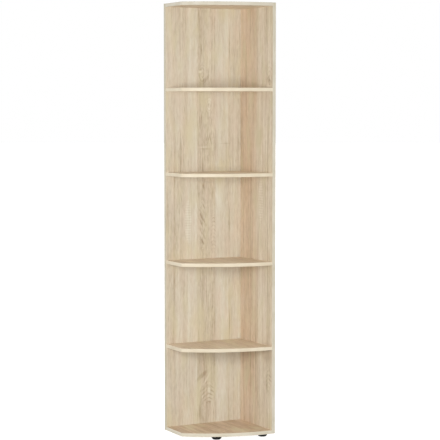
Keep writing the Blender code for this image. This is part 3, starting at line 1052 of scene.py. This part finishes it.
def foot_screw():
    """A pan head screw with a cross recess, its head up and the head's seat at height 0."""
    low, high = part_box("foot_screw_rear_left")
    length = high.z - low.z - FOOT_SCREW_HEAD_HEIGHT
    shank = thread(-length, FOOT_SCREW_OVERLAP, FOOT_SCREW_CORE, FOOT_SCREW_THREAD, FOOT_SCREW_PITCH)
    pointed(shank, -length, FOOT_SCREW_TIP_WIDTH)
    head = rod(FOOT_SCREW_HEAD, 0.0, FOOT_SCREW_HEAD_HEIGHT, ROUND_SIDES)
    round_over(head, lambda edge: at(edge, z=FOOT_SCREW_HEAD_HEIGHT), FOOT_SCREW_HEAD_ROUNDING)
    combine(head, shank, "UNION")
    cross = FOOT_SCREW_HEAD_HEIGHT - CROSS_DEPTH
    for half_x, half_y in ((CROSS_WIDTH / 2, CROSS_REACH), (CROSS_REACH, CROSS_WIDTH / 2)):
        slot = block((-half_x, -half_y, cross), (half_x, half_y, 2 * FOOT_SCREW_HEAD_HEIGHT))
        combine(head, slot, "DIFFERENCE")
        scrap(slot)
    scrap(shank)
    coat(head, ZINC)
    smooth(head, SCREW_SHADE_ANGLE)
    return head


def make_feet(foot_places):
    """Four feet under the bottom board, each with its screw driven up into the board."""
    foot = moulded_foot()
    screw = foot_screw()
    for corner, (x, y) in zip(CORNERS, foot_places):
        fit(copy_of(foot, (x, y, 0)), f"foot_{corner}", "moulded")
        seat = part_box(f"foot_screw_{corner}")[0].z + FOOT_SCREW_HEAD_HEIGHT
        made = copy_of(screw, (x, y, seat), (math.pi, 0, 0))
        fit(made, f"foot_screw_{corner}", "zinc")
    scrap(foot, screw)


def foot_centres():
    """Plan places of the feet."""
    boxes = [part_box(f"foot_{corner}") for corner in CORNERS]
    return [((low.x + high.x) / 2, (low.y + high.y) / 2) for low, high in boxes]


def make_unit():
    """Makes every piece of the unit and sets it in for its CAD node."""
    screws = screw_nodes()
    feet = foot_centres()
    bore = countersunk_bore()
    make_panels(bore, screws)
    make_strips()
    make_levels(bore, screws, feet)
    make_feet(feet)
    screw = board_screw()
    for node, (turn, place) in screws.items():
        fit(copy_of(screw, place, turn), node, "zinc")
    scrap(screw, bore)


def studio_paper():
    """White paper under the unit that stays white in the light."""
    paper = Finish("studio_paper")
    fleck = paper.noise(paper.place, 60.0, 3.0)
    paper.surface(Base_Color=paper.blend(fleck, srgb(168, 167, 165), srgb(174, 173, 172)), Roughness=0.9)
    paper.surface(Emission_Color=WHITE, Emission_Strength=PAPER_GLOW)
    return paper.material


def set_stage():
    """A plain pale floor."""
    bpy.ops.object.select_all(action="DESELECT")
    bpy.ops.mesh.primitive_circle_add(
        vertices=FLOOR_SIDES, radius=FLOOR_RADIUS, fill_type="NGON", location=(0, 0, 0)
    )
    floor = bpy.context.object
    floor.name = "studio_floor"
    floor.data.materials.append(studio_paper())
    floor.visible_diffuse = False
    floor.visible_glossy = False
    floor.visible_shadow = False


def lamp_of(light, place, aim):
    """Hangs a light at its place, turned to its aim."""
    lamp = bpy.data.objects.new(light.name, light)
    bpy.context.scene.collection.objects.link(lamp)
    lamp.location = place
    lamp.rotation_euler = (Vector(aim) - Vector(place)).to_track_quat("-Z", "Y").to_euler()
    lamp.visible_camera = False


def soft_box():
    """A large square soft box at the front left."""
    light = bpy.data.lights.new("front_soft_box", "AREA")
    light.shape = "SQUARE"
    light.size = SOFT_BOX_SIZE
    light.energy = SOFT_BOX_POWER
    lamp_of(light, SOFT_BOX_PLACE, SOFT_BOX_AIM)


def fill_light(name, place, strength, shadow):
    """Even light from far away on one side, towards the unit."""
    light = bpy.data.lights.new(name, "SUN")
    light.energy = strength
    light.angle = math.radians(FILL_ANGLE)
    light.use_shadow = shadow
    lamp_of(light, place, (0, 0, 0))


def white_room():
    """A white room that looks pure white to the camera and lights the unit more weakly."""
    world = bpy.data.worlds.new("white_room")
    bpy.context.scene.world = world
    world.use_nodes = True
    nodes = world.node_tree.nodes
    room = nodes["Background"]
    seen = nodes.new("ShaderNodeBackground")
    for background, strength in ((room, ROOM_LIGHT), (seen, ROOM_SEEN)):
        background.inputs["Color"].default_value = WHITE
        background.inputs["Strength"].default_value = strength
    path = nodes.new("ShaderNodeLightPath")
    choice = nodes.new("ShaderNodeMixShader")
    links = world.node_tree.links
    links.new(path.outputs["Is Camera Ray"], choice.inputs[0])
    links.new(room.outputs[0], choice.inputs[1])
    links.new(seen.outputs[0], choice.inputs[2])
    links.new(choice.outputs[0], nodes["World Output"].inputs["Surface"])


def light_studio():
    """Plain soft light: a white room, a soft box at the front left and fill lights from the other sides."""
    white_room()
    soft_box()
    for name, place, strength, shadow in FILL_LIGHTS:
        fill_light(name, place, strength, shadow)
    bpy.context.scene.view_settings.view_transform = "Standard"


def set_camera():
    """The photograph's camera: a long lens at chest height, from the front left."""
    lens = bpy.data.cameras.new("photo_camera")
    lens.lens = LENS
    lens.sensor_width = SENSOR
    camera = bpy.data.objects.new("photo_camera", lens)
    bpy.context.scene.collection.objects.link(camera)
    camera.location = CAMERA_PLACE
    camera.rotation_euler = (math.radians(CAMERA_TILT), 0.0, math.radians(CAMERA_TURN))
    bpy.context.scene.camera = camera


set_camera()
make_unit()
set_stage()
light_studio()
